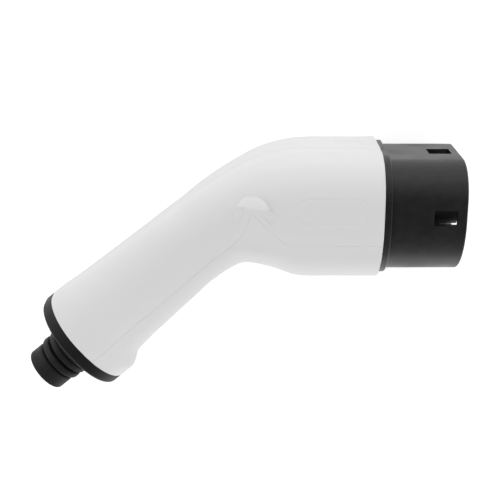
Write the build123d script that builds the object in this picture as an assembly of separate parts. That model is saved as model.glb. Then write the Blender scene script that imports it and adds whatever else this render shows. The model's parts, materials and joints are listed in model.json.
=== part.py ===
"""EV charging plug, vehicle end, lying on its side.

+X is the way the nose points, +Y is the plug's top, +Z is up from the floor it lies on.
The origin is the centre of the protective earth contact, at the front rim of the nose.
Millimetres.
"""
from build123d import *
from collections import namedtuple
from math import cos, pi, radians, sin, tan
import os

os.makedirs("parts", exist_ok=True)

# ---- nose: the standard D outline ----
NOSE_HALF = 35.0
NOSE_TOP = 27.7
NOSE_BOTTOM = 35.3
NOSE_CORNER = 18.7
NOSE_LENGTH = 38.6
NOSE_WALL = 2.8
RIM_ROUND = 0.9
FLANGE_STEP = 2.1
FLANGE_LENGTH = 5.0
SPIGOT_LENGTH = 14.0
LEDGE_DEPTH = 32.0
LEDGE_THICK = 4.0
LEDGE_WIDTH = 3.0

# ---- lock windows through the nose wall ----
WINDOW_LENGTH = 12.0
WINDOW_WIDTH = 8.0
WINDOW_SETBACK = 5.0
WINDOW_RISE = 1.0
TOP_WINDOW_WIDTH = 11.0
TOP_WINDOW_SETBACK = 4.3

# ---- contacts ----
PIN_PITCH = 17.5
ROW_DROP = 16.0
LOWER_HALF_PITCH = 9.0
PILOT_RISE = 14.5
PILOT_HALF_PITCH = 8.0
POWER_PIN_R = 3.0
PILOT_PIN_R = 1.5
CONTACT_WALL = 1.7
TOWER_WALL = 1.5
TOWER_SETBACK = 3.0
TOWER_LIP = 3.0
LIP_CLEAR = 0.5
SLEEVE_FOOT = 2.0
SLEEVE_STEP = 1.0
SOCKET_FLOOR = 0.4
CONTACT_SLOT = 0.6
CARRIER_PLATE = 6.0
RETAINER_PLATE = 3.0
COLLAR_STEP = 1.2
COLLAR_LENGTH = 3.6
CRIMP_LENGTH = 16.0
CRIMP_STEP = 0.5
CRIMP_WALL = 1.1

# ---- white shells ----
SHELL_STEP = 4.4
SHELL_WALL = 3.0
FRONT_RUN = 34.0
SECTION_STEP = 6.0
HANDLE_ANGLE = 40.2
BEND_CORNER = 64.7
BEND_RADIUS = 70.0
TAIL_AT = 181.2

# ---- seam between the shells, as seen from the side ----
SEAM_DROP = 13.3
SEAM_OFFSET = 6.5
SEAM_CORNER_AT = 49.5
SEAM_CORNER_R = 12.0
SEAM_APEX = (66.0, 5.6)
SEAM_APEX_R = 1.8
SEAM_FOOT_TO_TAIL = 106.0
SEAM_FOOT_R = 14.0

# ---- raised arch over the seam's apex, on both sides ----
ARCH_TOP = (69.4, 18.7)
ARCH_LEFT_FOOT = (79.4, -16.0)
ARCH_RIGHT_FOOT = (34.9, -17.0)
ARCH_R = 7.0
ARCH_BAND = 5.5
ARCH_RISE = 2.6
ARCH_HALF = 33.0
ARCH_TILT = 15.0
ARCH_CORNER = 0.4
ARCH_TIGHTEN = 0.9
ARCH_PROUD = 0.15

# ---- bare panel on each side and bare pad on top ----
PANEL_AT = 24.8
PANEL_Y = 5.3
PANEL_LENGTH = 38.4
PANEL_WIDTH = 15.2
PANEL_DEPTH = 0.6
PAD_AT = 15.4
PAD_LENGTH = 15.0
PAD_WIDTH = 11.0
PAD_DEPTH = 0.4
PAD_R = 1.5

# ---- inside the shells ----
LOCK_RIB = 1.3
COLUMN_SPOTS = [(32.0, 11.0), (32.0, -11.0), (95.0, -13.0), (125.0, -13.0)]
SEAT_THICK = 3.0
THREAD_DEPTH = 10.0

# ---- fasteners ----
M3_R = 1.5
M3_HEAD_R = 2.8
M3_HEAD = 2.0
M4_R = 2.0
M4_HEAD_R = 3.6
M4_HEAD = 2.6
HEX_ACROSS = 2.0
HEX_DEPTH = 1.2
BOSS_WALL = 2.2

# ---- tail ----
CAP_LENGTH = 7.0
CAP_ROUND = 1.8
CAP_SPIGOT = 7.0
CAP_SPIGOT_WALL = 2.5
CABLE_R = 8.2
COLLAR_R = 14.2
COLLAR_NECK_R = 13.0
COLLAR_NECK_WALL = 2.2
COLLAR_OUT = 6.6
COLLAR_HOOK = 1.0
LATCH_COUNT = 4
LATCH_WIDTH = 5.0
LATCH_DEPTH = 1.2
BOOT_CORE_R = 11.0
BOOT_RIBS = ((4.0, 13.9), (4.0, 13.6), (9.0, 12.6))
BOOT_GAP = 1.4
BOOT_FLANGE = 3.0
BOOT_ROUND = 1.2
CLAMP_AT = 148.0
CLAMP_LENGTH = 13.0
CLAMP_R = 17.0
CLAMP_GROOVE = 1.5
CLAMP_SPLIT = 0.8
CLAMP_SCREW_Z = 12.6
CLAMP_SEAT = 8.0
CLAMP_SCREW_SHIFT = 1.8
CRADLE_SHIFT = -3.9
CRADLE_THICK = 3.0
M4_LENGTH = 16.0

# ---- coding resistor between the earth and proximity contacts ----
RESISTOR_R = 1.2
RESISTOR_LENGTH = 6.0
LEAD_R = 0.35
LEAD_REACH = 4.0

# ---- spring ring round each contact ----
SPRING_THICK = 0.4
SPRING_LENGTH = 5.0
SPRING_SETBACK = 3.0

# ---- fits ----
SLIDE = 0.2
LOOSE = 0.3

SHELL_FRONT = NOSE_LENGTH + FLANGE_LENGTH

Section = namedtuple("Section", "at top bottom half corner")
FRONT = tuple(size + SHELL_STEP for size in (NOSE_TOP, NOSE_BOTTOM, NOSE_HALF, NOSE_CORNER))
TAIL = (30.0, 28.6, 28.5, 26.0)
TAIL_RUN_AT = TAIL_AT - CAP_SPIGOT
BODY = [
    Section(FRONT_RUN, *FRONT),
    Section(52.0, 30.2, 37.7, 37.8, 22.4),
    Section(70.0, 26.3, 30.6, 32.8, 19.8),
    Section(88.0, 24.7, 21.3, 28.5, 17.2),
    Section(106.0, 25.6, 18.9, 26.5, 16.8),
    Section(124.0, 26.5, 20.0, 26.0, 18.2),
    Section(142.0, 27.5, 21.2, 26.3, 20.0),
    Section(156.0, 28.2, 22.2, 27.2, 21.5),
    Section(166.0, 28.9, 24.0, 28.1, 23.5),
    Section(TAIL_RUN_AT, *TAIL),
]


def section_at(at):
    """Section at any distance along the path, eased between the named ones."""
    low = max(i for i in range(len(BODY) - 1) if BODY[i].at <= at or i == 0)
    ends = BODY[low], BODY[low + 1]
    span = ends[1].at - ends[0].at
    t = (at - ends[0].at) / span

    def slope(i, field):
        if i in (0, len(BODY) - 1):
            return 0.0
        return (BODY[i + 1][field] - BODY[i - 1][field]) / (BODY[i + 1].at - BODY[i - 1].at)

    def eased(field):
        return ((2 * t**3 - 3 * t**2 + 1) * ends[0][field] + (3 * t**2 - 2 * t**3) * ends[1][field]
                + (t**3 - 2 * t**2 + t) * span * slope(low, field)
                + (t**3 - t**2) * span * slope(low + 1, field))

    return [eased(field) for field in range(1, 5)]


def section_face(top, bottom, half, corner, inset=0.0):
    """D section: half-round below, straight sides, rounded corners and a flat on top."""
    centre = half - bottom
    t, b, h, r = top - inset, bottom - inset, half - inset, corner - inset
    k = r * (1 - cos(pi / 4))
    m = h * cos(pi / 4)
    edges = [
        Line((h, centre), (h, t - r)),
        ThreePointArc((h, t - r), (h - k, t - k), (h - r, t)),
        Line((h - r, t), (r - h, t)),
        ThreePointArc((r - h, t), (k - h, t - k), (-h, t - r)),
        Line((-h, t - r), (-h, centre)),
        ThreePointArc((-h, centre), (-m, centre - m), (0, -b)),
        ThreePointArc((0, -b), (m, centre - m), (h, centre)),
    ]
    return make_face(edges)


def nose_plane(depth):
    """Plane across the nose, depth behind the rim; it faces rearward, its y is the plug's top."""
    return Plane(origin=(-depth, 0, 0), x_dir=(0, 0, 1), z_dir=(-1, 0, 0))


def nose_prism(depth, length, grow):
    face = section_face(NOSE_TOP, NOSE_BOTTOM, NOSE_HALF, NOSE_CORNER, -grow)
    return extrude(nose_plane(depth) * face, length)


def path_plane(at):
    """Plane across the body at a distance along its path, measured from the shell's front."""
    turn = radians(HANDLE_ANGLE)
    straight = BEND_CORNER - BEND_RADIUS * tan(turn / 2)
    if at <= straight:
        x, y, a = at, 0.0, 0.0
    else:
        a = min((at - straight) / BEND_RADIUS, turn)
        x = straight + BEND_RADIUS * sin(a)
        y = -BEND_RADIUS * (1 - cos(a))
        rest = at - straight - BEND_RADIUS * a
        x += rest * cos(a)
        y -= rest * sin(a)
    return Plane(origin=(-SHELL_FRONT - x, y, 0), x_dir=(0, 0, 1), z_dir=(-cos(a), -sin(a), 0))


def stretch(start, end, inset, change=lambda sizes: sizes):
    """Lofted stretch of the body between two distances along its path."""
    count = round((end - start) / SECTION_STEP)
    steps = [start + (end - start) * i / count for i in range(count + 1)]
    return loft([path_plane(at) * section_face(*change(section_at(at)), inset) for at in steps])


def body(inset):
    """The whole white body as one solid, set in from the outside by a wall."""
    front = extrude(path_plane(0) * section_face(*FRONT, inset), FRONT_RUN)
    tail = extrude(path_plane(TAIL_RUN_AT) * section_face(*TAIL, inset), CAP_SPIGOT)
    return front + stretch(FRONT_RUN, TAIL_RUN_AT, inset) + tail


def rod(depth, length, y, z, r):
    """Round bar along the nose axis that starts at a depth and runs rearward."""
    return Pos(-depth - length / 2, y, z) * Rot(0, 90, 0) * Cylinder(r, length)


def along(at, length, h, z, r):
    """Round bar along the handle axis."""
    return path_plane(at) * (Pos(z, h, length / 2) * Cylinder(r, length))


def save(name, shape):
    shape.label = name
    export_step(shape, "parts/" + name + ".step")


# ================= contacts =================
Contact = namedtuple("Contact", "name y z pin_r")
CONTACTS = [
    Contact("contact_pe", 0.0, 0.0, POWER_PIN_R),
    Contact("contact_n", 0.0, PIN_PITCH, POWER_PIN_R),
    Contact("contact_l1", 0.0, -PIN_PITCH, POWER_PIN_R),
    Contact("contact_l2", -ROW_DROP, -LOWER_HALF_PITCH, POWER_PIN_R),
    Contact("contact_l3", -ROW_DROP, LOWER_HALF_PITCH, POWER_PIN_R),
    Contact("contact_cp", PILOT_RISE, -PILOT_HALF_PITCH, PILOT_PIN_R),
    Contact("contact_pp", PILOT_RISE, PILOT_HALF_PITCH, PILOT_PIN_R),
]
PLATE_FRONT = LEDGE_DEPTH + LEDGE_THICK
PLATE_BACK = PLATE_FRONT + CARRIER_PLATE
RETAINER_BACK = PLATE_BACK + RETAINER_PLATE
COLLAR_FRONT = PLATE_BACK - COLLAR_LENGTH
SOCKET_FRONT = TOWER_SETBACK + TOWER_LIP
SPRING_AT = SOCKET_FRONT + SPRING_SETBACK
SCREW_SPOTS = [(y, z * side) for y, z in ((17.1, 24.4), (-15.9, 22.7)) for side in (1, -1)]


def sleeve_radius(c):
    return c.pin_r + CONTACT_WALL + SLIDE + TOWER_WALL


def make_contact(c):
    outer = c.pin_r + CONTACT_WALL
    sleeve = rod(SOCKET_FRONT + SLIDE, COLLAR_FRONT - SOCKET_FRONT, c.y, c.z, outer)
    collar = rod(COLLAR_FRONT + SLIDE, COLLAR_LENGTH - 2 * SLIDE, c.y, c.z, outer + COLLAR_STEP)
    crimp_r = outer - CRIMP_STEP
    crimp = rod(PLATE_BACK - 1, CRIMP_LENGTH + RETAINER_PLATE + 1, c.y, c.z, crimp_r)
    body = sleeve + collar + crimp
    socket_depth = LEDGE_DEPTH - SOCKET_FLOOR - SOCKET_FRONT
    body -= rod(SOCKET_FRONT, socket_depth, c.y, c.z, c.pin_r)
    wire = rod(RETAINER_BACK + 4, CRIMP_LENGTH, c.y, c.z, crimp_r - CRIMP_WALL)
    body -= wire
    slot_length = socket_depth * 0.6
    body -= rod(SPRING_AT, SPRING_LENGTH, c.y, c.z, outer + 1) - rod(
        SPRING_AT - 1, SPRING_LENGTH + 2, c.y, c.z, outer - SPRING_THICK)
    for turn in (45, 135):
        slot = Box(slot_length, CONTACT_SLOT, 2 * outer + 2)
        body -= Pos(-SOCKET_FRONT - slot_length / 2, c.y, c.z) * Rot(turn, 0, 0) * slot
    return body


def make_plate():
    """Plate that carries the sleeves, with a front step that seats in the nose's ledge."""
    body = nose_prism(PLATE_FRONT, CARRIER_PLATE, -NOSE_WALL - SLIDE)
    step = nose_prism(LEDGE_DEPTH, LEDGE_THICK, -NOSE_WALL - LEDGE_WIDTH - SLIDE)
    for y, z in SCREW_SPOTS:
        step -= rod(LEDGE_DEPTH - 1, LEDGE_THICK + 1, y, z, M3_R + BOSS_WALL + LOOSE)
    body += step
    for c in CONTACTS:
        outer = sleeve_radius(c)
        body -= rod(LEDGE_DEPTH - 1, PLATE_BACK, c.y, c.z, outer)
        body -= rod(PLATE_BACK - SLEEVE_FOOT, SLEEVE_FOOT + 1, c.y, c.z, outer + SLEEVE_STEP)
    for y, z in SCREW_SPOTS:
        body -= rod(PLATE_FRONT - 1, CARRIER_PLATE + 2, y, z, M3_R + SLIDE)
    return body


def make_sleeve(c):
    """Insulating tower round one contact: its foot is clamped between plate and retainer."""
    outer = c.pin_r + CONTACT_WALL
    body = rod(TOWER_SETBACK, PLATE_BACK - TOWER_SETBACK, c.y, c.z, sleeve_radius(c))
    body += rod(PLATE_BACK - SLEEVE_FOOT, SLEEVE_FOOT, c.y, c.z, sleeve_radius(c) + SLEEVE_STEP)
    body -= rod(TOWER_SETBACK - 1, PLATE_BACK, c.y, c.z, c.pin_r + LIP_CLEAR)
    body -= rod(SOCKET_FRONT, PLATE_BACK, c.y, c.z, outer + SLIDE)
    return body - rod(COLLAR_FRONT, COLLAR_LENGTH + 1, c.y, c.z, outer + COLLAR_STEP + SLIDE)


def make_retainer():
    body = nose_prism(PLATE_BACK, RETAINER_PLATE, -NOSE_WALL - SLIDE)
    for c in CONTACTS:
        body -= rod(PLATE_BACK - 1, RETAINER_PLATE + 2, c.y, c.z, c.pin_r + CONTACT_WALL - CRIMP_STEP + SLIDE)
    for y, z in SCREW_SPOTS:
        body -= rod(PLATE_BACK - 1, RETAINER_PLATE + 2, y, z, M3_R + SLIDE)
    return body


def make_carrier_screw(y, z):
    shank_length = RETAINER_PLATE + CARRIER_PLATE + LEDGE_THICK - 1
    shank = rod(RETAINER_BACK - shank_length, shank_length, y, z, M3_R)
    head = rod(RETAINER_BACK, M3_HEAD, y, z, M3_HEAD_R)
    socket = Pos(-RETAINER_BACK - M3_HEAD, y, z) * Rot(0, 90, 0)
    hexagon = extrude(Plane.XY * RegularPolygon(HEX_ACROSS / 2, 6), HEX_DEPTH)
    return shank + head - socket * hexagon


# ================= nose =================
SEAL_AT = SHELL_FRONT + 3.0
SEAL_WIDTH = 2.4
SEAL_DEPTH = 1.5
LOCK_AT = SHELL_FRONT + 8.5
LOCK_WIDTH = 3.2
SPIGOT_GROW = SHELL_STEP - SHELL_WALL - SLIDE


def make_nose():
    rim = nose_prism(0, NOSE_LENGTH, 0)
    rim = fillet(rim.faces().sort_by(Axis.X)[-1].edges(), RIM_ROUND)
    flange = nose_prism(NOSE_LENGTH, FLANGE_LENGTH, FLANGE_STEP)
    flange = fillet(flange.faces().sort_by(Axis.X)[-1].edges(), RIM_ROUND)
    spigot = nose_prism(SHELL_FRONT, SPIGOT_LENGTH, SPIGOT_GROW)
    for at, width, depth in ((SEAL_AT, SEAL_WIDTH, SEAL_DEPTH), (LOCK_AT, LOCK_WIDTH, LOCK_RIB + SLIDE)):
        spigot -= nose_prism(at, width, SPIGOT_GROW + 2) - nose_prism(at - 1, width + 2, SPIGOT_GROW - depth)
    body = rim + flange + spigot
    body -= nose_prism(-1, LEDGE_DEPTH + 1, -NOSE_WALL)
    body -= nose_prism(LEDGE_DEPTH - 1, LEDGE_THICK + 2, -NOSE_WALL - LEDGE_WIDTH)
    body -= nose_prism(PLATE_FRONT, SHELL_FRONT + SPIGOT_LENGTH, -NOSE_WALL)
    keep = nose_prism(LEDGE_DEPTH, LEDGE_THICK, -NOSE_WALL + 0.5)
    for y, z in SCREW_SPOTS:
        body += rod(LEDGE_DEPTH, LEDGE_THICK, y, z, M3_R + BOSS_WALL) & keep
    for y, z in SCREW_SPOTS:
        body -= rod(LEDGE_DEPTH + 1, LEDGE_THICK, y, z, M3_R)
    side_at = -WINDOW_SETBACK - WINDOW_LENGTH / 2
    for side in (1, -1):
        spot = Pos(side_at, WINDOW_RISE, side * NOSE_HALF)
        body -= spot * Box(WINDOW_LENGTH, WINDOW_WIDTH, 4 * NOSE_WALL)
    top_at = -TOP_WINDOW_SETBACK - WINDOW_LENGTH / 2
    body -= Pos(top_at, NOSE_TOP, 0) * Box(WINDOW_LENGTH, 4 * NOSE_WALL, TOP_WINDOW_WIDTH)
    return body


def make_seal():
    ring = nose_prism(SEAL_AT + SLIDE / 2, SEAL_WIDTH - SLIDE, SPIGOT_GROW + SLIDE / 2)
    return ring - nose_prism(SEAL_AT - 1, SEAL_WIDTH + 2, SPIGOT_GROW - SEAL_DEPTH)


# ================= white shells =================
SIDE_FAR = 150.0
CRADLE_AT = CLAMP_AT + CRADLE_SHIFT - CRADLE_THICK / 2
CLAMP_SCREW_AT = CLAMP_AT + CLAMP_SCREW_SHIFT


def seam_outline():
    """Region below the seam, in the side view."""
    tail = path_plane(TAIL_AT)
    on_handle = tail.origin - tail.y_dir * SEAM_OFFSET
    foot = on_handle - tail.z_dir * SEAM_FOOT_TO_TAIL
    end = on_handle + tail.z_dir * SIDE_FAR / 3
    corner = (-SHELL_FRONT - SEAM_CORNER_AT, -SEAM_DROP)
    apex = (-SHELL_FRONT - SEAM_APEX[0], SEAM_APEX[1])
    start = (NOSE_LENGTH, -SEAM_DROP)
    radii = [SEAM_CORNER_R, SEAM_APEX_R, SEAM_FOOT_R]
    line = FilletPolyline(start, corner, apex, (foot.X, foot.Y), (end.X, end.Y), radius=radii)
    under = Polyline(line @ 1, (end.X, -SIDE_FAR), (NOSE_LENGTH, -SIDE_FAR), line @ 0)
    return make_face(line.edges() + under.edges())


def below_seam():
    return Pos(0, 0, -SIDE_FAR / 2) * extrude(seam_outline(), SIDE_FAR)


def arch_face(inset):
    """Arch outline about the seam's apex: two straight flanks and a round top."""
    points = [(SEAM_APEX[0] - back, y) for back, y in (ARCH_LEFT_FOOT, ARCH_TOP, ARCH_RIGHT_FOOT)]
    face = make_face(Polyline(*points, close=True))
    if inset:
        face = offset(face, -inset, kind=Kind.INTERSECTION)
    top = face.vertices().sort_by(Axis.Y)[-1]
    return fillet(top, ARCH_R - inset * ARCH_TIGHTEN)


def boxier(sizes):
    top, bottom, half, corner = sizes
    return top, bottom + ARCH_PROUD, half + ARCH_PROUD, corner * ARCH_CORNER


def arch_solid():
    """Boxier stretch of the body, trimmed to the arch with a sloping band round it."""
    boxy = stretch(FRONT_RUN, ARCH_LEFT_FOOT[0] + 10, 0, boxier)
    tilt = radians(ARCH_TILT)
    normal = Vector(-sin(tilt), 0, cos(tilt))
    foot = Vector(-SHELL_FRONT - SEAM_APEX[0], 0, ARCH_HALF)

    def level(rise):
        return Plane(origin=foot + normal * rise, x_dir=(cos(tilt), 0, sin(tilt)), z_dir=normal)

    prism = loft([level(0) * arch_face(0), level(ARCH_RISE) * arch_face(ARCH_BAND)])
    prism += extrude(level(-2 * SHELL_WALL) * arch_face(0), 2 * SHELL_WALL)
    return boxy & prism


def panel_cut(side):
    floor = NOSE_HALF + SHELL_STEP - PANEL_DEPTH
    spot = Pos(-SHELL_FRONT - PANEL_AT, PANEL_Y, side * (floor + SHELL_WALL))
    return spot * extrude(SlotOverall(PANEL_LENGTH, PANEL_WIDTH), SHELL_WALL, both=True)


def pad_cut():
    floor = NOSE_TOP + SHELL_STEP - PAD_DEPTH
    flat = Plane(origin=(-SHELL_FRONT - PAD_AT, floor, 0), x_dir=(1, 0, 0), z_dir=(0, 1, 0))
    return extrude(flat * RectangleRounded(PAD_LENGTH, PAD_WIDTH, PAD_R), SHELL_WALL)


def upright(at, z, low, high, r):
    """Round bar across the body, square to its path, from one height to another."""
    plane = path_plane(at)
    centre = plane.origin + plane.y_dir * (low + high) / 2 + Vector(0, 0, z)
    return Plane(origin=centre, x_dir=(0, 0, 1), z_dir=plane.y_dir) * Cylinder(r, high - low)


def seam_height(at):
    return -SEAM_DROP if at < SEAM_CORNER_AT else -SEAM_OFFSET


def lock_rib():
    back = LOCK_AT - SHELL_FRONT + SLIDE / 2
    rib = extrude(path_plane(back) * section_face(*FRONT, SHELL_WALL / 2), LOCK_WIDTH - SLIDE)
    return rib - extrude(path_plane(back - 1) * section_face(*FRONT, SHELL_WALL + LOCK_RIB), LOCK_WIDTH + 2)


def cradle(room):
    slab = extrude(path_plane(CRADLE_AT) * Circle(NOSE_HALF * 2), CRADLE_THICK)
    seat = along(CRADLE_AT - 1, CRADLE_THICK + 2, 0, 0, CLAMP_R - CLAMP_GROOVE + SLIDE)
    return (slab & room) - seat


def make_shells():
    outer = body(0)
    arch = arch_solid()
    outer = outer + arch + mirror(arch, Plane.XY)
    outer -= panel_cut(1) + panel_cut(-1) + pad_cut()
    walls = outer - body(SHELL_WALL)
    room = body(SHELL_WALL / 2)
    walls += lock_rib()
    walls += cradle(room)
    for at, z in COLUMN_SPOTS:
        walls += upright(at, z, -NOSE_HALF, NOSE_HALF, M3_R + BOSS_WALL) & room
    below = below_seam()
    lower = walls & below
    upper = walls - below
    for at, z in COLUMN_SPOTS:
        seam = seam_height(at)
        lower -= upright(at, z, seam - NOSE_HALF, seam + 1, M3_R + SLIDE)
        lower -= upright(at, z, seam - NOSE_HALF, seam - SEAT_THICK, M3_HEAD_R + SLIDE)
        upper -= upright(at, z, seam - 1, seam + THREAD_DEPTH, M3_R)
    return upper, lower


def make_shell_screws():
    screws = []
    for at, z in COLUMN_SPOTS:
        seat = seam_height(at) - SEAT_THICK
        screw = upright(at, z, seat, seat + SEAT_THICK + THREAD_DEPTH - 1, M3_R)
        screw += upright(at, z, seat - M3_HEAD, seat, M3_HEAD_R)
        screws.append(screw)
    return Compound(screws)


# ================= tail =================
CAP_BACK = TAIL_AT + CAP_LENGTH
COLLAR_BACK = CAP_BACK + COLLAR_OUT
NECK_FRONT = TAIL_AT - COLLAR_HOOK - SLIDE


def make_cap():
    plate = extrude(path_plane(TAIL_AT) * section_face(*TAIL), CAP_LENGTH)
    back = plate.faces().sort_by(Axis(path_plane(0).origin, path_plane(TAIL_AT).z_dir))[-1]
    plate = fillet(back.edges(), CAP_ROUND)
    at = TAIL_AT - CAP_SPIGOT + SLIDE
    ring = extrude(path_plane(at) * section_face(*TAIL, SHELL_WALL + SLIDE), CAP_SPIGOT)
    ring -= extrude(path_plane(at) * section_face(*TAIL, SHELL_WALL + CAP_SPIGOT_WALL), CAP_SPIGOT - SLIDE)
    return plate + ring - along(at, CAP_SPIGOT + 2 * CAP_LENGTH, 0, 0, COLLAR_NECK_R + SLIDE)


def make_collar():
    body = along(CAP_BACK, COLLAR_OUT, 0, 0, COLLAR_R)
    body = fillet(body.edges().group_by(Axis((0, 0, 0), path_plane(TAIL_AT).z_dir))[-1], 0.8)
    for i in range(LATCH_COUNT):
        notch = Box(LATCH_WIDTH, 2 * LATCH_DEPTH, COLLAR_OUT / 2)
        turned = Rot(0, 0, 45 + 360 / LATCH_COUNT * i) * Pos(0, COLLAR_R, COLLAR_OUT * 0.35)
        body -= path_plane(CAP_BACK) * turned * notch
    body += along(NECK_FRONT, CAP_BACK - NECK_FRONT + 1, 0, 0, COLLAR_NECK_R)
    body += along(NECK_FRONT - COLLAR_HOOK, COLLAR_HOOK + SLIDE / 2, 0, 0, COLLAR_NECK_R + COLLAR_HOOK)
    bore = COLLAR_NECK_R - COLLAR_NECK_WALL
    return body - along(NECK_FRONT - 5, COLLAR_BACK, 0, 0, bore)


def make_boot():
    """Ribbed strain relief: round-edged ribs on a thinner core, the last one wide."""
    neck_r = COLLAR_NECK_R - COLLAR_NECK_WALL - SLIDE
    front = NECK_FRONT - COLLAR_HOOK - BOOT_FLANGE - SLIDE
    body = along(front, COLLAR_BACK - front + 1, 0, 0, neck_r)
    body += along(front, BOOT_FLANGE, 0, 0, COLLAR_NECK_R)
    at = COLLAR_BACK + SLIDE
    for width, r in BOOT_RIBS:
        rib = fillet(Cylinder(r, width).edges().filter_by(GeomType.CIRCLE), BOOT_ROUND)
        body += path_plane(at) * Pos(0, 0, width / 2) * rib
        at += width + BOOT_GAP
    body += along(COLLAR_BACK + SLIDE, at - BOOT_GAP - BOOT_ROUND - COLLAR_BACK, 0, 0, BOOT_CORE_R)
    return body - along(front - 1, at - front, 0, 0, CABLE_R)


def make_clamp():
    """Two half-round jaws round the cable, located by the cradle ribs in both shells."""
    start = CLAMP_AT - CLAMP_LENGTH / 2
    disc = along(start, CLAMP_LENGTH, 0, 0, CLAMP_R)
    groove = along(CRADLE_AT - SLIDE, CRADLE_THICK + 2 * SLIDE, 0, 0, CLAMP_R + 1)
    disc -= groove - along(start, CLAMP_LENGTH, 0, 0, CLAMP_R - CLAMP_GROOVE)
    disc -= along(start - 1, CLAMP_LENGTH + 2, 0, 0, CABLE_R)
    plane = path_plane(CLAMP_AT)
    half = Pos(0, CLAMP_R, 0) * Box(3 * CLAMP_R, 2 * CLAMP_R, 2 * CLAMP_LENGTH)
    saddle = disc & (plane * Pos(0, CLAMP_SPLIT / 2, 0) * half)
    base = disc & (plane * Pos(0, -CLAMP_SPLIT / 2 - 2 * CLAMP_R, 0) * half)
    for side in (1, -1):
        z = side * CLAMP_SCREW_Z
        saddle -= upright(CLAMP_SCREW_AT, z, -1, CLAMP_R, M4_R + SLIDE)
        saddle -= upright(CLAMP_SCREW_AT, z, CLAMP_SEAT, CLAMP_R, M4_HEAD_R + SLIDE)
        base -= upright(CLAMP_SCREW_AT, z, CLAMP_SEAT - M4_LENGTH - 0.5, 1, M4_R)
    return base, saddle


def make_clamp_screws():
    screws = []
    for z in (CLAMP_SCREW_Z, -CLAMP_SCREW_Z):
        shank = upright(CLAMP_SCREW_AT, z, CLAMP_SEAT - M4_LENGTH, CLAMP_SEAT, M4_R)
        screws.append(shank + upright(CLAMP_SCREW_AT, z, CLAMP_SEAT, CLAMP_SEAT + M4_HEAD, M4_HEAD_R))
    return Compound(screws)


# ================= small electrical pieces =================
def make_spring(c):
    outer = c.pin_r + CONTACT_WALL
    ring = rod(SPRING_AT + SLIDE / 2, SPRING_LENGTH - SLIDE, c.y, c.z, outer)
    return ring - rod(SPRING_AT, SPRING_LENGTH, c.y, c.z, outer - SPRING_THICK + SLIDE / 4)


def make_resistor():
    """Resistor whose leads reach into the crimp barrels of the earth and proximity contacts."""
    earth, pilot = CONTACTS[0], CONTACTS[-1]
    barrel_end = RETAINER_BACK + CRIMP_LENGTH
    ends = []
    for c in (earth, pilot):
        wall = c.pin_r + CONTACT_WALL - CRIMP_STEP - CRIMP_WALL - LEAD_R
        ends.append((c.y + (wall if c is earth else -wall), c.z))
    (y0, z0), (y1, z1) = ends
    bend_at = -barrel_end - LEAD_REACH
    corners = [(-barrel_end + LEAD_REACH, y0, z0), (bend_at, y0, z0), (bend_at, y1, z1),
               (-barrel_end + LEAD_REACH, y1, z1)]
    lead = FilletPolyline(*corners, radius=2 * LEAD_R)
    wire = sweep(Plane(origin=lead @ 0, z_dir=lead % 0) * Circle(LEAD_R), lead)
    across = Vector(0, y1 - y0, z1 - z0).normalized()
    middle = Vector(bend_at, (y0 + y1) / 2, (z0 + z1) / 2)
    barrel = Plane(origin=middle, z_dir=across) * Cylinder(RESISTOR_R, RESISTOR_LENGTH)
    return wire + fillet(barrel.edges().filter_by(GeomType.CIRCLE), 0.4)


if __name__ == "__main__":
    for contact in CONTACTS:
        save(contact.name, make_contact(contact))
    save("contact_springs", Compound([make_spring(c) for c in CONTACTS]))
    save("contact_carrier", Compound([make_plate()] + [make_sleeve(c) for c in CONTACTS]))
    save("contact_retainer", make_retainer())
    save("carrier_screws", Compound([make_carrier_screw(y, z) for y, z in SCREW_SPOTS]))
    save("coding_resistor", make_resistor())
    save("nose_shroud", make_nose())
    save("nose_seal", make_seal())
    upper_shell, lower_shell = make_shells()
    save("upper_shell", upper_shell)
    save("lower_shell", lower_shell)
    save("shell_screws", make_shell_screws())
    save("tail_cap", make_cap())
    save("gland_collar", make_collar())
    save("strain_relief", make_boot())
    clamp_base, clamp_saddle = make_clamp()
    save("clamp_base", clamp_base)
    save("clamp_saddle", clamp_saddle)
    save("clamp_screws", make_clamp_screws())
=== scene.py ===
"""Looks of the EV charging plug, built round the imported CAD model. Metres, in the model's own frame."""
import json
from math import cos, hypot, pi, radians, sin, sqrt, tan

import bpy
import numpy as np
from mathutils import Matrix, Vector


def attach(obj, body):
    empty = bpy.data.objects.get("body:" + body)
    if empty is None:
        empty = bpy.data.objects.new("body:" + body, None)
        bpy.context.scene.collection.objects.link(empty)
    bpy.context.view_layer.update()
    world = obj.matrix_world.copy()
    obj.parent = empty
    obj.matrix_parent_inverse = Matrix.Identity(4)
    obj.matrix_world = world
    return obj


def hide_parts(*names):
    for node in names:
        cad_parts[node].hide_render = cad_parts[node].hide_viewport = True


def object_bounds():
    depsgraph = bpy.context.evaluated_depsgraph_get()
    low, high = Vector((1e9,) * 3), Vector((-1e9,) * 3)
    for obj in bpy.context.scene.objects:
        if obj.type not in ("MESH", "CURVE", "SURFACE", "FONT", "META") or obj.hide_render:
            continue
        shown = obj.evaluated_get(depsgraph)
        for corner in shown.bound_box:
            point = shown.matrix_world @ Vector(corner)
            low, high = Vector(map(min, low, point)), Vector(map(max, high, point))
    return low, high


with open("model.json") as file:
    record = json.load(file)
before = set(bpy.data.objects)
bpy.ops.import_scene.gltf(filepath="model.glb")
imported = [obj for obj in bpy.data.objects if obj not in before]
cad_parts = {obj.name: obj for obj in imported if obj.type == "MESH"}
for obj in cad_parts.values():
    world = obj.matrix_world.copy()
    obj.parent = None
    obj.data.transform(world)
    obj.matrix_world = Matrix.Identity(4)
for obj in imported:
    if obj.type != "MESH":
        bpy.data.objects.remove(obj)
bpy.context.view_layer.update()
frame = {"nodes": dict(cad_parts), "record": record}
MM = 0.001

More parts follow.
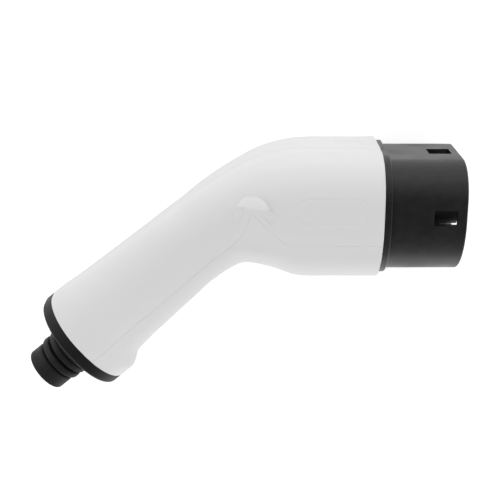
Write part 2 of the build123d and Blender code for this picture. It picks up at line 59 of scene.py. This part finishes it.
# ---- camera: where it stands round the origin of the frame ----
CAMERA_YAW = radians(0.79)
CAMERA_PITCH = radians(-18.36)
CAMERA_ROLL = radians(0.24)
CAMERA_OFFSET = Vector((110.10, -25.93, 598.7)) * MM
FOCAL_PX = 1114.3
FRAME_PX = 500.0
SENSOR = 36.0
CLIP = (0.01, 20.0)


def look_camera():
    """Camera whose axes come from yaw, pitch and roll about the frame, seen from the plug's upper side."""
    yaw, pitch, roll = CAMERA_YAW, CAMERA_PITCH, CAMERA_ROLL
    turn_y = Matrix(((cos(yaw), 0, -sin(yaw)), (0, 1, 0), (sin(yaw), 0, cos(yaw))))
    turn_x = Matrix(((1, 0, 0), (0, cos(pitch), sin(pitch)), (0, -sin(pitch), cos(pitch))))
    turn_z = Matrix(((cos(roll), -sin(roll), 0), (sin(roll), cos(roll), 0), (0, 0, 1)))
    to_camera = turn_z @ turn_x @ turn_y @ Matrix.Diagonal((1, -1, -1))
    place = to_camera.transposed() @ -CAMERA_OFFSET
    right, down, ahead = to_camera
    axes = Matrix((right, -down, -ahead)).transposed()
    data = bpy.data.cameras.new("photo_camera")
    data.sensor_width = SENSOR
    data.lens = FOCAL_PX / FRAME_PX * SENSOR
    data.clip_start, data.clip_end = CLIP
    camera = bpy.data.objects.new("photo_camera", data)
    camera.matrix_world = Matrix.Translation(place) @ axes.to_4x4()
    bpy.context.scene.collection.objects.link(camera)
    bpy.context.scene.camera = camera


look_camera()


# ---- white shells: the same path and sections as the CAD, with the moulding lines on them (mm) ----
NOSE_TOP, NOSE_BOTTOM, NOSE_HALF, NOSE_CORNER = 27.7, 35.3, 35.0, 18.7
SHELL_STEP = 4.4
SHELL_FRONT = 43.6
FRONT_RUN = 34.0
HANDLE_ANGLE = radians(40.2)
BEND_CORNER = 64.7
BEND_RADIUS = 70.0
BEND_START = BEND_CORNER - BEND_RADIUS * tan(HANDLE_ANGLE / 2)
TAIL_AT = 181.2
TAIL_RUN = 7.0
FRONT = tuple(v + SHELL_STEP for v in (NOSE_TOP, NOSE_BOTTOM, NOSE_HALF, NOSE_CORNER))
TAIL = (30.0, 28.6, 28.5, 26.0)
# station, then top, bottom, half width and top corner of its section
BODY = np.array([
    (FRONT_RUN, *FRONT),
    (52.0, 30.2, 37.7, 37.8, 22.4),
    (70.0, 26.3, 30.6, 32.8, 19.8),
    (88.0, 24.7, 21.3, 28.5, 17.2),
    (106.0, 25.6, 18.9, 26.5, 16.8),
    (124.0, 26.5, 20.0, 26.0, 18.2),
    (142.0, 27.5, 21.2, 26.3, 20.0),
    (156.0, 28.2, 22.2, 27.2, 21.5),
    (166.0, 28.9, 24.0, 28.1, 23.5),
    (TAIL_AT - TAIL_RUN, *TAIL),
])
# height of the seam above the path, from the front to the tail
SEAM = np.array([
    (0, -13.3), (45.5, -13.3), (48.2, -12.7), (50.6, -11.4), (52.9, -9.6), (56.8, -4.9), (61, 3.2), (62.5, 7.2),
    (63.5, 8.8), (64.7, 8.0), (67, 4.4), (69.5, 1.1), (74.5, -2.2), (81, -4.6), (90, -5.4), (104, -5.6),
    (125, -6.5), (182, -6.7),
])
SEAM_SPACING = 0.2
SEAM_EASE = 0.7
SEAM_REACH = 99.0
GAP = 0.02
# points along each run of a half section
BOTTOM_POINTS, SIDE_POINTS, CORNER_POINTS, FLAT_POINTS = 240, 40, 160, 60


def smooth(t):
    t = np.clip(t, 0, 1)
    return t * t * (3 - 2 * t)


def step(value, start, run):
    """0 up to start, and 1 from start + run on."""
    return smooth((value - start) / run)


def section_at(at):
    """Top, bottom, half width and top corner of the section at a station, eased between the listed ones."""
    stations = BODY[:, 0]
    at = np.clip(at, stations[0], stations[-1])
    low = min(int(np.searchsorted(stations, at, side="right")) - 1, len(BODY) - 2)
    slopes = np.zeros_like(BODY)
    slopes[1:-1] = (BODY[2:] - BODY[:-2]) / (stations[2:] - stations[:-2])[:, None]
    span = stations[low + 1] - stations[low]
    t = (at - stations[low]) / span
    eased = ((2 * t**3 - 3 * t**2 + 1) * BODY[low] + (3 * t**2 - 2 * t**3) * BODY[low + 1]
             + (t**3 - 2 * t**2 + t) * span * slopes[low] + (t**3 - t**2) * span * slopes[low + 1])
    return eased[1:]


def path_at(at):
    """Point on the path in millimetres and the angle it has turned through."""
    turn = min(max((at - BEND_START) / BEND_RADIUS, 0.0), HANDLE_ANGLE)
    before = min(at, BEND_START)
    after = at - before - BEND_RADIUS * turn
    x = before + BEND_RADIUS * sin(turn) + after * cos(turn)
    y = -BEND_RADIUS * (1 - cos(turn)) - after * sin(turn)
    return -SHELL_FRONT - x, y, turn


def half_outline(at):
    """Right half of a section from the bottom up to the top: arc length, place and outward normal."""
    top, bottom, half, corner = section_at(at)
    centre = half - bottom
    low = np.linspace(-pi / 2, 0, BOTTOM_POINTS)
    high = np.linspace(0, pi / 2, CORNER_POINTS)
    rise = np.linspace(centre, top - corner, SIDE_POINTS)[1:-1]
    flat = np.linspace(half - corner, 0, FLAT_POINTS)[1:]
    u = np.concatenate([half * np.cos(low), np.full(len(rise), half), half - corner + corner * np.cos(high), flat])
    v = np.concatenate([centre + half * np.sin(low), rise, top - corner + corner * np.sin(high),
                        np.full(len(flat), top)])
    nu = np.concatenate([np.cos(low), np.ones(len(rise)), np.cos(high), np.zeros(len(flat))])
    nv = np.concatenate([np.sin(low), np.zeros(len(rise)), np.sin(high), np.ones(len(flat))])
    arc = np.concatenate([[0], np.cumsum(np.hypot(np.diff(u), np.diff(v)))])
    return arc, u, v, nu, nv


def blurred(stations, values, width):
    """Values eased along the stations so that a list of points has no corners."""
    near = np.exp(-0.5 * ((stations[:, None] - stations[None, :]) / width) ** 2)
    return near @ values / near.sum(1)


SEAM_AT = np.arange(-8.0, 192.0, SEAM_SPACING)
SEAM_HEIGHT = blurred(SEAM_AT, np.interp(SEAM_AT, SEAM[:, 0], SEAM[:, 1]), SEAM_EASE)
SEAM_SLOPE = np.gradient(SEAM_HEIGHT, SEAM_AT)


def from_seam(at, height):
    """Distance of side-view points from the seam, positive above it."""
    away = np.full(at.shape, SEAM_REACH)
    for s, h in zip(SEAM_AT[::3], SEAM_HEIGHT[::3]):
        away = np.minimum(away, np.hypot(at - s, height - h))
    return away * np.sign(height - np.interp(at, SEAM_AT, SEAM_HEIGHT))


# ---- raised arch over the seam's apex ----
ARCH_CENTRE = (-109.1, 3.0)
ARCH_R = 9.1
ARCH_CHORD_Y = 6.0
# each flank's x on the chord, and the direction that it runs down in
ARCH_LEFT = (-117.7, 0.28, 0.96)
ARCH_RIGHT = (-100.6, 0.58, -0.815)
ARCH_BAND = 3.9
ARCH_BAND_EDGE = 1.4
ARCH_RISE = 2.6
ARCH_EDGE = 0.8
CHORD_EDGE = 0.25
FLANK_FADE = 6.4
MIDDLE_FADE = 15.0


def arch_depth(x, y):
    """How far inside the arch's outline a side-view point lies: round over the chord, straight flanks below."""
    round_top = ARCH_R - np.hypot(x - ARCH_CENTRE[0], y - ARCH_CENTRE[1])
    flanks = []
    for foot, run_x, run_y in (ARCH_LEFT, ARCH_RIGHT):
        flanks.append((x - foot) * run_y - (y - ARCH_CHORD_Y) * run_x)
    return np.where(y > ARCH_CHORD_Y, round_top, np.minimum(flanks[0], flanks[1]))


def arch_rise(x, y):
    """A flat facet slopes up from the outline's top to a chord, and facets turned down fade out on both flanks."""
    inside = arch_depth(x, y)
    edge = np.clip(inside / ARCH_EDGE, 0, 1)
    apex = ARCH_CENTRE[1] + ARCH_R
    down = ARCH_CHORD_Y - y
    facet = np.minimum(np.clip((apex - y) / (apex - ARCH_CHORD_Y), 0, 1), edge)
    middle = smooth(1 - down / MIDDLE_FADE)
    flank = np.clip(1 - down / FLANK_FADE, 0, 1)
    level = flank + (middle - flank) * step(inside, ARCH_BAND, ARCH_BAND_EDGE)
    above = step(-down, -CHORD_EDGE, 2 * CHORD_EDGE)
    return ARCH_RISE * (above * facet + (1 - above) * level * edge)


# ---- moulded lines and recesses: pairs are where a change starts and how far it runs ----
SIDE_ON_FROM, SIDE_ON_RUN = 0.35, 0.3
PANEL_AT, PANEL_HEIGHT = 24.8, 5.3
PANEL_RUN = 11.6
PANEL_R = 7.6
PANEL_LINE = (1.1, 0.2, 0.4)
LIP_WIDTH = 2.0
LIP_WIDER = 0.8
LIP_WIDENS = (70, 30)
LIP_EDGE = 0.45
LIP_DEPTH = 0.1
LABEL_AT = 15.4
LABEL_HALF_LENGTH, LABEL_HALF_WIDTH = 7.5, 5.5
LABEL_EDGE = 0.5
LABEL_DEPTH = 0.3
STRIP_HALF = 10.5
STRIP_NARROWER = 7.0
STRIP_NARROWS = (20, 45)
STRIP_ENDS = (60, 32)
STRIP_EDGE = 1.3
STRIP_DROP = 0.4
GROOVE_FRONT = (6, 1)
GROOVE_STARTS = (24, 2)
GROOVE_ENDS = (56, 8)
GROOVE_HALF = 0.55
GROOVE_DEPTH = 0.12


def channel(away, width, depth, edge):
    """Sunk line between away = 0 and away = width."""
    return -depth * (step(away, 0, edge) - step(away, width, edge))


def relief(at, height, x, y, z, side_on, upper):
    """Moulded lines and raised forms, in millimetres outwards."""
    out = side_on * arch_rise(x, y)
    past_panel = np.maximum(np.abs(at - PANEL_AT) - PANEL_RUN, 0)
    out += side_on * channel(PANEL_R - np.hypot(past_panel, height - PANEL_HEIGHT), *PANEL_LINE)
    if upper:
        lip = LIP_WIDTH + LIP_WIDER * step(at, *LIP_WIDENS)
        out -= side_on * LIP_DEPTH * (1 - step(from_seam(at, height), lip, LIP_EDGE))
        on_top = 1 - side_on
        in_label = -np.maximum(np.abs(at - LABEL_AT) - LABEL_HALF_LENGTH, np.abs(z) - LABEL_HALF_WIDTH)
        out -= on_top * LABEL_DEPTH * step(in_label, 0, LABEL_EDGE)
        strip_half = STRIP_HALF - STRIP_NARROWER * step(at, *STRIP_NARROWS)
        strip = 1 - step(at, *STRIP_ENDS)
        out -= on_top * strip * STRIP_DROP * step(np.abs(z), strip_half, STRIP_EDGE)
        groove = step(at, *GROOVE_STARTS) * (1 - step(at, *GROOVE_ENDS)) + (1 - step(at, *GROOVE_FRONT))
        out -= on_top * groove * GROOVE_DEPTH * (1 - step(np.abs(z), 0, GROOVE_HALF))
    return out


# ---- screw wells in the underside ----
WELLS = ((32.0, 11.0), (32.0, -11.0), (95.0, -13.0), (125.0, -13.0))
WELL_CUT = 3.5
WELL_SEAT = 3.0
# radius of each ring, and how far it stands out of the shell
WELL_RINGS = ((4.15, 0.0), (4.05, 0.07), (3.1, 0.07), (3.02, 0.04), (3.0, -0.05), (3.0, -0.4))
SEAT_RADII = (3.0, 2.9, 1.5)
WELL_STEPS = 48
UNDERSIDE = -0.5


def well_liner(at, side):
    """Raised rim, bore and seat of one well, as points and quads."""
    ox, oy, turn = path_at(at)
    seat = np.interp(at, SEAM_AT, SEAM_HEIGHT) - WELL_SEAT
    rings = []
    for radius, proud in WELL_RINGS + tuple((radius, None) for radius in SEAT_RADII):
        ring = []
        for t in np.linspace(0, 2 * pi, WELL_STEPS, endpoint=False):
            s, z = radius * cos(t), side + radius * sin(t)
            _, bottom, half, _ = section_at(at + s)
            v = seat if proud is None else half - bottom - sqrt(half**2 - z**2) - proud
            ring.append((ox - s * cos(turn) - v * sin(turn), oy - s * sin(turn) + v * cos(turn), z))
        rings.append(ring)
    index = np.arange(len(rings) * WELL_STEPS).reshape(len(rings), WELL_STEPS)
    after = np.roll(index, -1, axis=1)
    quads = np.stack([index[1:], after[1:], after[:-1], index[:-1]], -1).reshape(-1, 4)
    return np.array(rings).reshape(-1, 3), quads


def with_wells(points, quads, stations, under):
    """The lower skin with its wells cut out and lined."""
    for at, side in WELLS:
        away = np.hypot(stations[quads].mean(1) - at, points[quads, 2].mean(1) / MM - side)
        quads = quads[~((away < WELL_CUT) & under[quads].all(1))]
    for at, side in WELLS:
        liner, liner_quads = well_liner(at, side)
        quads = np.concatenate([quads, liner_quads + len(points)])
        points = np.concatenate([points, liner * MM])
    return points, quads


# ---- skins: rows of points along the path; pairs are how far in from an edge, and how deep ----
EDGE = ((0.0, 0.6), (0.0, 0.05), (0.03, 0.02), (0.07, 0.0))
FRONT_EDGE = ((0.0, 2.2), (0.0, 0.4), (0.12, 0.12), (0.4, 0.0))
FRONT_LIP = 0.9
FRONT_ROWS = (0.8, 7, 0.8)
DETAIL_ROWS = (7, 86, 0.45)
WELL_ROWS = (86, 132, 0.7)
HANDLE_SPACING = 1.5
TAIL_CLEAR = 0.4
# share of a row that is near the seam, and how many points stand in it and in the rest
UPPER_POINTS = (0.52, 100, 64)
LOWER_POINTS = (0.45, 58, 52)


def skin_row(at, sunk, fractions, upper):
    """Points of one row from the seam to the middle line and back on the far side, and which way each faces."""
    arc, u, v, nu, nv = half_outline(at)
    start = np.interp(np.interp(at, SEAM_AT, SEAM_HEIGHT), v, arc)
    slant = hypot(1, np.interp(at, SEAM_AT, SEAM_SLOPE))
    end = arc[-1] if upper else 0.0
    way = 1 if upper else -1
    edge = [start + way * (GAP + inwards) * slant for inwards, _ in EDGE]
    rest = edge[-1] + (end - edge[-1]) * fractions[1:]
    place = np.concatenate([edge, rest])
    depth = np.maximum(np.concatenate([[deep for _, deep in EDGE], np.zeros(len(rest))]), sunk)
    pu, pv = np.interp(place, arc, u), np.interp(place, arc, v)
    mu, mv = np.interp(place, arc, nu), np.interp(place, arc, nv)
    ox, oy, turn = path_at(at)
    x, y = ox - pv * sin(turn), oy + pv * cos(turn)
    side_on = step(mu, SIDE_ON_FROM, SIDE_ON_RUN)
    lift = relief(np.full(len(pu), at), pv, x, y, pu, side_on, upper) - depth
    right = np.stack([x - mv * sin(turn) * lift, y + mv * cos(turn) * lift, pu + mu * lift], 1)
    left = right[:-1][::-1] * (1, 1, -1)
    return np.concatenate([right, left]), np.concatenate([mv, mv[:-1][::-1]])


def shell_mesh(name, upper):
    """One shell's outside as a grid of points from the front to the tail, open towards the seam."""
    handle_from = DETAIL_ROWS[1] if upper else WELL_ROWS[1]
    rows = [np.arange(*FRONT_ROWS), np.arange(*DETAIL_ROWS)]
    if not upper:
        rows.append(np.arange(*WELL_ROWS))
    rows.append(np.arange(handle_from, TAIL_AT - TAIL_CLEAR, HANDLE_SPACING))
    stations = [(inwards - FRONT_LIP, deep) for inwards, deep in FRONT_EDGE]
    stations += [(at, 0.0) for at in np.concatenate(rows)]
    stations += [(TAIL_AT - inwards, deep) for inwards, deep in reversed(EDGE)]
    share, near, far = UPPER_POINTS if upper else LOWER_POINTS
    fractions = np.concatenate([np.linspace(0, share, near), np.linspace(share, 1, far)[1:]])

    made = [skin_row(at, deep, fractions, upper) for at, deep in stations]
    grid = np.array([row for row, _ in made])
    count, width = grid.shape[:2]
    index = np.arange(count * width).reshape(count, width)
    quads = np.stack([index[:-1, :-1], index[1:, :-1], index[1:, 1:], index[:-1, 1:]], -1).reshape(-1, 4)
    points = grid.reshape(-1, 3) * MM
    if upper:
        quads = quads[:, ::-1]
    else:
        under = np.array([facing for _, facing in made]).reshape(-1) < UNDERSIDE
        points, quads = with_wells(points, quads, np.repeat([at for at, _ in stations], width), under)
    mesh = bpy.data.meshes.new(name)
    mesh.from_pydata(points.tolist(), [], quads.tolist())
    mesh.shade_smooth()
    return mesh


def add_piece(name, mesh, node, finish):
    piece = bpy.data.objects.new(name, mesh)
    bpy.context.scene.collection.objects.link(piece)
    mesh.materials.append(finish)
    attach(piece, "root")
    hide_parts(node)


# ---- materials ----
GRAIN_DETAIL, CLOUD_DETAIL, DUST_DETAIL = 3.0, 4.0, 6.0
CLOUD_FROM, CLOUD_TO = 0.3, 0.7
DUST_FROM, DUST_TO = 0.42, 0.72


def material(name, base, roughness, grain=None, cloud=None, dust=None, **sockets):
    """Plastic, rubber or metal. grain = (scale, strength, depth) is the moulded or drawn surface, cloud =
    (scale, spread) lets the gloss vary, and dust = (scale, colour) lies in patches on the base colour."""
    mat = bpy.data.materials.new(name)
    mat.use_nodes = True
    tree = mat.node_tree
    shader = tree.nodes["Principled BSDF"]
    shader.inputs["Base Color"].default_value = (*base, 1)
    shader.inputs["Roughness"].default_value = roughness
    for key, value in sockets.items():
        shader.inputs[key.replace("_", " ")].default_value = value
    where = tree.nodes.new("ShaderNodeTexCoord").outputs["Object"]

    def noise(scale, detail):
        made = tree.nodes.new("ShaderNodeTexNoise")
        made.inputs["Scale"].default_value = scale
        made.inputs["Detail"].default_value = detail
        tree.links.new(where, made.inputs["Vector"])
        return made.outputs["Fac"]

    if grain:
        scale, strength, depth = grain
        bump = tree.nodes.new("ShaderNodeBump")
        bump.inputs["Strength"].default_value = strength
        bump.inputs["Distance"].default_value = depth
        tree.links.new(noise(scale, GRAIN_DETAIL), bump.inputs["Height"])
        tree.links.new(bump.outputs["Normal"], shader.inputs["Normal"])
    if cloud:
        scale, spread = cloud
        band = tree.nodes.new("ShaderNodeMapRange")
        band.inputs["From Min"].default_value = CLOUD_FROM
        band.inputs["From Max"].default_value = CLOUD_TO
        band.inputs["To Min"].default_value = roughness - spread
        band.inputs["To Max"].default_value = roughness + spread
        tree.links.new(noise(scale, CLOUD_DETAIL), band.inputs["Value"])
        tree.links.new(band.outputs["Result"], shader.inputs["Roughness"])
    if dust:
        scale, colour = dust
        ramp = tree.nodes.new("ShaderNodeValToRGB")
        stops = ramp.color_ramp.elements
        stops[0].position, stops[0].color = DUST_FROM, (*base, 1)
        stops[1].position, stops[1].color = DUST_TO, (*colour, 1)
        tree.links.new(noise(scale, DUST_DETAIL), ramp.inputs["Fac"])
        tree.links.new(ramp.outputs["Color"], shader.inputs["Base Color"])
    return mat


WHITE = material("white_shell", (0.79, 0.79, 0.79), 0.32, grain=(900, 0.05, 0.0002), cloud=(35, 0.02))
BLACK = material("black_plastic", (0.010, 0.010, 0.011), 0.36, grain=(1400, 0.14, 0.0003), cloud=(60, 0.06),
                 dust=(240, (0.015, 0.015, 0.016)))
CAP_BLACK = material("cap_plastic", (0.009, 0.009, 0.0095), 0.5, grain=(1600, 0.18, 0.0003), cloud=(60, 0.06),
                     Specular_IOR_Level=0.3)
CARRIER = material("carrier_plastic", (0.014, 0.014, 0.015), 0.5, grain=(1400, 0.15, 0.0003), cloud=(60, 0.06))
SEAL = material("seal_rubber", (0.011, 0.011, 0.012), 0.6, grain=(1800, 0.15, 0.0003), cloud=(120, 0.08),
                Specular_IOR_Level=0.35)
RUBBER = material("boot_rubber", (0.010, 0.010, 0.0105), 0.58, grain=(2200, 0.2, 0.0003), cloud=(140, 0.08),
                  dust=(320, (0.016, 0.016, 0.017)), Specular_IOR_Level=0.35)
BRASS = material("plated_brass", (0.8, 0.78, 0.72), 0.22, grain=(2600, 0.06, 0.0002), cloud=(300, 0.04),
                 Metallic=1.0)
STEEL = material("steel", (0.55, 0.55, 0.56), 0.36, grain=(2600, 0.1, 0.0002), cloud=(400, 0.05), Metallic=1.0)
RESISTOR = material("resistor", (0.6, 0.5, 0.3), 0.4, grain=(1200, 0.1, 0.0002), cloud=(200, 0.06))
FINISH = {
    "white_shell": WHITE, "black_plastic": BLACK, "carrier_plastic": CARRIER, "seal_rubber": SEAL,
    "boot_rubber": RUBBER, "steel": STEEL, "plated_brass": BRASS, "resistor": RESISTOR,
}
DULLER = ("tail_cap", "gland_collar")
for part in frame["record"]["subparts"]:
    solid = frame["nodes"][part["node"]]
    solid.data.materials.clear()
    solid.data.materials.append(CAP_BLACK if part["node"] in DULLER else FINISH[part["material_slot"]])


add_piece("upper_shell_skin", shell_mesh("upper_shell_skin", True), "upper_shell", WHITE)
add_piece("lower_shell_skin", shell_mesh("lower_shell_skin", False), "lower_shell", WHITE)


# ---- floor, backdrop and lights ----
FLOOR_HALF = 3.0
FLOOR_GREY = (0.85, 0.85, 0.85)
FLOOR_ROUGHNESS = 0.9
FLOOR_CLOUD = (6, 0.05)
FLOOR_GLOW = 0.55
FLOOR_GLOW_REFLECTED = 0.45
WORLD = 1.15
# the tent's brightness goes by a direction's height plus WORLD_TILT times its y, from -WORLD_SHIFT on
WORLD_TILT = -0.45
WORLD_SHIFT = 0.45
WORLD_SPAN = 1.6
WORLD_RAMP = ((0.2, 1.0), (0.62, 0.48), (0.82, 0.22), (0.95, 0.1))
FILL_AIM = (-0.1, 0, 0)
FILL_SIZE = (1.6, 0.6)


def math_node(tree, operation, *values):
    """Output of a Math node whose inputs are sockets or numbers."""
    made = tree.nodes.new("ShaderNodeMath")
    made.operation = operation
    for socket, value in zip(made.inputs, values):
        if isinstance(value, (int, float)):
            socket.default_value = value
        else:
            tree.links.new(value, socket)
    return made.outputs[0]


def make_floor():
    """White floor that keeps its shadow, and glows enough to look white to the camera and in reflections."""
    mesh = bpy.data.meshes.new("floor")
    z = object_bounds()[0].z
    corners = [(-1, -1), (1, -1), (1, 1), (-1, 1)]
    mesh.from_pydata([(x * FLOOR_HALF, y * FLOOR_HALF, z) for x, y in corners], [], [(0, 1, 2, 3)])
    floor = bpy.data.objects.new("floor", mesh)
    bpy.context.scene.collection.objects.link(floor)
    mat = material("floor_white", FLOOR_GREY, FLOOR_ROUGHNESS, cloud=FLOOR_CLOUD)
    tree = mat.node_tree
    rays = tree.nodes.new("ShaderNodeLightPath").outputs
    seen = math_node(tree, "MULTIPLY", rays["Is Camera Ray"], FLOOR_GLOW)
    either = math_node(tree, "MAXIMUM", rays["Is Glossy Ray"], rays["Is Transmission Ray"])
    mirrored = math_node(tree, "MULTIPLY", either, FLOOR_GLOW_REFLECTED)
    shine = tree.nodes.new("ShaderNodeEmission")
    tree.links.new(math_node(tree, "ADD", seen, mirrored), shine.inputs["Strength"])
    both = tree.nodes.new("ShaderNodeAddShader")
    tree.links.new(tree.nodes["Principled BSDF"].outputs[0], both.inputs[0])
    tree.links.new(shine.outputs[0], both.inputs[1])
    tree.links.new(both.outputs[0], tree.nodes["Material Output"].inputs["Surface"])
    mesh.materials.append(mat)


def studio_world():
    """A white tent that is brightest behind the plug's flat top and darkest over the camera."""
    world = bpy.data.worlds.new("studio")
    world.use_nodes = True
    tree = world.node_tree
    where = tree.nodes.new("ShaderNodeTexCoord")
    parts = tree.nodes.new("ShaderNodeSeparateXYZ")
    tree.links.new(where.outputs["Generated"], parts.inputs[0])
    height = math_node(tree, "MULTIPLY_ADD", parts.outputs["Y"], WORLD_TILT, parts.outputs["Z"])
    place = math_node(tree, "MULTIPLY_ADD", height, 1 / WORLD_SPAN, WORLD_SHIFT / WORLD_SPAN)
    ramp = tree.nodes.new("ShaderNodeValToRGB")
    tree.links.new(place, ramp.inputs[0])
    tree.links.new(ramp.outputs["Color"], tree.nodes["Background"].inputs["Color"])
    stops = ramp.color_ramp.elements
    while len(stops) < len(WORLD_RAMP):
        stops.new(0.5)
    for stop, (at, grey) in zip(stops, WORLD_RAMP):
        stop.position, stop.color = at, (grey, grey, grey, 1)
    tree.nodes["Background"].inputs["Strength"].default_value = WORLD
    bpy.context.scene.world = world


def soft_light(name, place, watts):
    """Fill light that leaves no stripe of its own on the black plastic."""
    data = bpy.data.lights.new(name, "AREA")
    data.shape = "RECTANGLE"
    data.size, data.size_y = FILL_SIZE
    data.energy = watts
    light = bpy.data.objects.new(name, data)
    light.location = place
    light.rotation_euler = (Vector(FILL_AIM) - Vector(place)).to_track_quat("-Z", "Y").to_euler()
    light.visible_glossy = False
    bpy.context.scene.collection.objects.link(light)


make_floor()
studio_world()
soft_light("top_light", (-0.1, 0.8, 0.7), 3.9)
soft_light("low_light", (-0.1, -0.85, 0.6), 6.1)

bpy.context.scene.view_settings.view_transform = "Standard"
